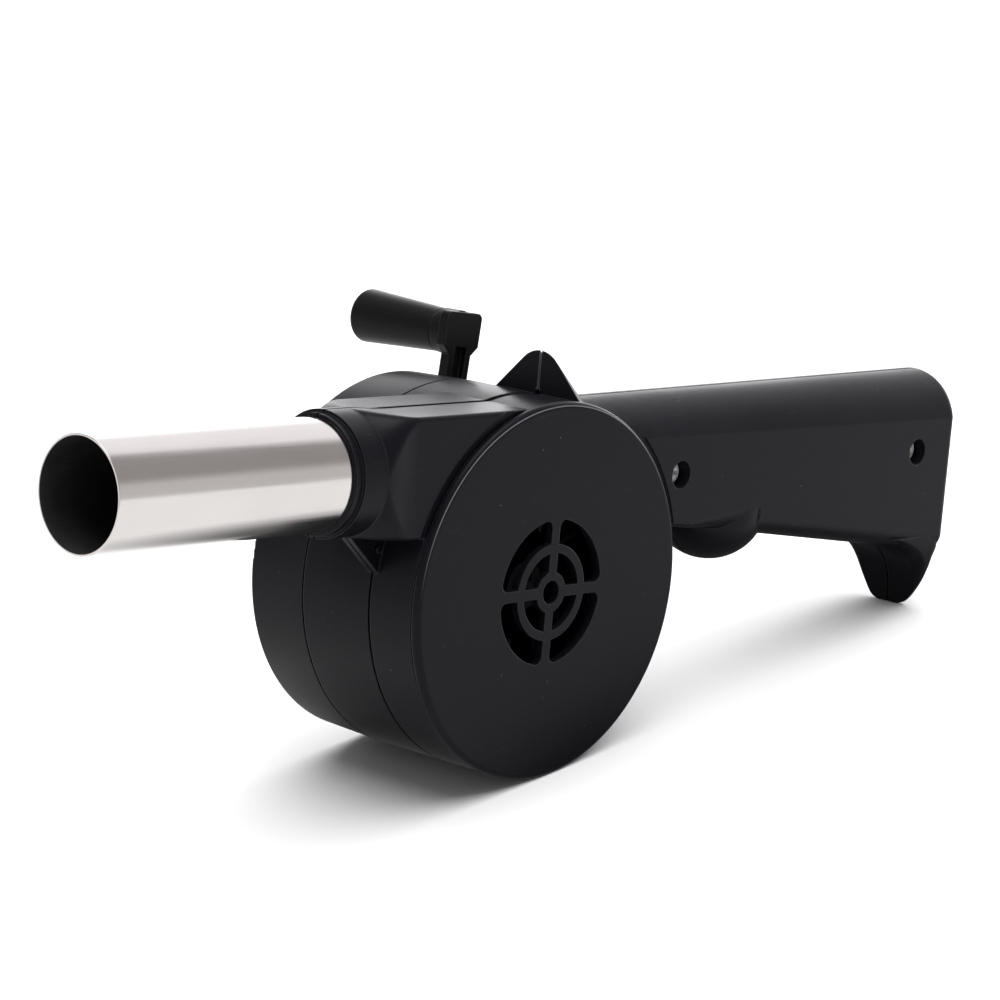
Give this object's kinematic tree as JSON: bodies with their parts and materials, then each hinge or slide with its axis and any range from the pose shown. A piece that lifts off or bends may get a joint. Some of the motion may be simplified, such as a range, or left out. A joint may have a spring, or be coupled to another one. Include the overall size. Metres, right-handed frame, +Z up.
{
  "type": "hand crank fire blower",
  "caption": "Hand crank fire blower: fan drum with a front air grille, straight nozzle tube, long hooked grip, and a side crank with a spinning knob that turns the fan through gears",
  "frame": {"origin": "centre of the bounding box on the surface that the blower stands on", "axes": "+X from the nozzle towards the grip's end, +Y along the drum axis towards the crank, +Z up, with the blower resting on its drum and hook"},
  "size_m": [0.25, 0.0768, 0.0927],
  "materials": {
    "casing_plastic": "moulded black ABS with a fine satin texture",
    "crank_plastic": "moulded black nylon, smooth satin",
    "stainless_tube": "drawn stainless tube, polished along its length",
    "plated_steel": "zinc-plated steel",
    "ground_steel": "ground steel rod",
    "bronze": "sintered bronze",
    "gear_nylon": "natural white acetal",
    "fan_plastic": "moulded dark grey ABS"
  },
  "bodies": {
    "casing": {"right_shell": "casing_plastic", "left_shell": "casing_plastic", "gear_cover": "casing_plastic", "intake_cover": "casing_plastic", "nozzle_tube": "stainless_tube", "grip_screws": "plated_steel", "case_screws": "plated_steel", "gear_cover_screws": "plated_steel", "fan_bush": "bronze", "idler_pin": "ground_steel", "idler_washers": "plated_steel", "crank_bush": "bronze", "crank_inner_bush": "bronze"},
    "crank": {"crank_arm": "crank_plastic", "crank_shaft": "ground_steel", "crank_gear": "gear_nylon", "crank_screw": "plated_steel", "crank_washer": "gear_nylon", "knob_screw": "plated_steel", "knob_washer": "plated_steel"},
    "knob": {"crank_knob": "crank_plastic"},
    "idler": {"idler_gear": "gear_nylon"},
    "fan": {"fan_wheel": "fan_plastic", "fan_shaft": "ground_steel", "fan_ring": "plated_steel", "fan_pinion": "bronze", "fan_washer": "gear_nylon"}
  },
  "joints": [
    {"name": "crank_turn", "type": "hinge", "parent": "casing", "child": "crank", "pos_m": [0.0008, 0.0087, 0.03553], "axis": [0, 1, 0], "continuous": true},
    {"name": "knob_spin", "type": "hinge", "parent": "crank", "child": "knob", "pos_m": [0.01259, 0.01555, 0.07834], "axis": [0, 1, 0], "continuous": true},
    {"name": "idler_turn", "type": "hinge", "parent": "casing", "child": "idler", "pos_m": [-0.01339, -0.01055, 0.02087], "axis": [0, 1, 0], "continuous": true},
    {"name": "fan_turn", "type": "hinge", "parent": "casing", "child": "fan", "pos_m": [-0.01498, -0.03115, 0.0382], "axis": [0, 1, 0], "continuous": true}
  ],
  "couplings": [
    {"joint": "idler_turn", "follows": "crank_turn", "ratio": -4.6667},
    {"joint": "fan_turn", "follows": "crank_turn", "ratio": 22.4}
  ]
}
